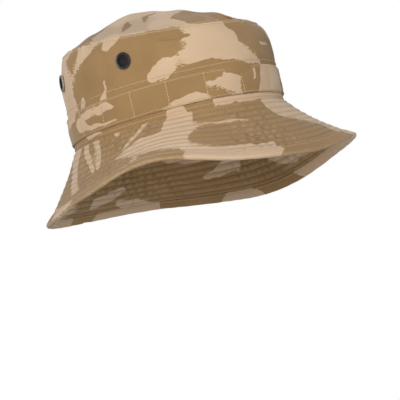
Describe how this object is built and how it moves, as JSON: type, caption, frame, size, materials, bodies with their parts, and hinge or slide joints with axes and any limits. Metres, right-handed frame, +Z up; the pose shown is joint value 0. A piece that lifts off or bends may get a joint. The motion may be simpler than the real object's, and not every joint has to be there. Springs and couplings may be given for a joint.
{
  "type": "boonie hat",
  "caption": "Soft cotton bush hat in worn shape: cylindrical crown with domed tip, band of foliage loops, screened side vents and a drooping stitched brim whose sides turn up.",
  "frame": {"origin": "centre of the head opening, in the plane of the seam between crown and brim", "axes": "+Z up through the crown, -Y is the front, -X is the wearer's right"},
  "size_m": [0.254, 0.2872, 0.1718],
  "materials": {
    "camouflage_cloth": "plain-weave cotton, printed in sand and brown desert camouflage",
    "interlining": "stiff bonded interlining, hidden between the brim cloths",
    "sweatband_tape": "folded cotton sweatband",
    "seam_tape": "cotton binding tape",
    "label_cloth": "blank woven label",
    "black_painted_brass": "black painted brass",
    "black_wire_screen": "fine black wire screen"
  },
  "bodies": {
    "root": {"brim_binding_back": "camouflage_cloth", "brim_binding_front": "camouflage_cloth", "brim_interlining_back": "interlining", "brim_interlining_front": "interlining", "brim_lower_back": "camouflage_cloth", "brim_lower_front": "camouflage_cloth", "brim_upper_back": "camouflage_cloth", "brim_upper_front": "camouflage_cloth", "crown_side_back": "camouflage_cloth", "crown_side_front": "camouflage_cloth", "crown_tip": "camouflage_cloth", "foliage_loop_band": "camouflage_cloth", "size_label": "label_cloth", "sweatband": "sweatband_tape", "tip_seam_tape": "seam_tape", "vent_eyelet_back_left": "black_painted_brass", "vent_eyelet_back_right": "black_painted_brass", "vent_eyelet_front_left": "black_painted_brass", "vent_eyelet_front_right": "black_painted_brass", "vent_screen_back_left": "black_wire_screen", "vent_screen_back_right": "black_wire_screen", "vent_screen_front_left": "black_wire_screen", "vent_screen_front_right": "black_wire_screen", "vent_washer_back_left": "black_painted_brass", "vent_washer_back_right": "black_painted_brass", "vent_washer_front_left": "black_painted_brass", "vent_washer_front_right": "black_painted_brass"},
    "brim_left": {"brim_binding_left": "camouflage_cloth", "brim_interlining_left": "interlining", "brim_lower_left": "camouflage_cloth", "brim_upper_left": "camouflage_cloth"},
    "brim_right": {"brim_binding_right": "camouflage_cloth", "brim_interlining_right": "interlining", "brim_lower_right": "camouflage_cloth", "brim_upper_right": "camouflage_cloth"}
  },
  "joints": [
    {"name": "brim_left_fold", "type": "hinge", "parent": "root", "child": "brim_left", "pos_m": [0.088, 0, -0.0112], "axis": [0, -1, 0], "range_deg": [0, 115]},
    {"name": "brim_right_fold", "type": "hinge", "parent": "root", "child": "brim_right", "pos_m": [-0.088, 0, -0.0037], "axis": [0, 1, 0], "range_deg": [0, 115]}
  ]
}
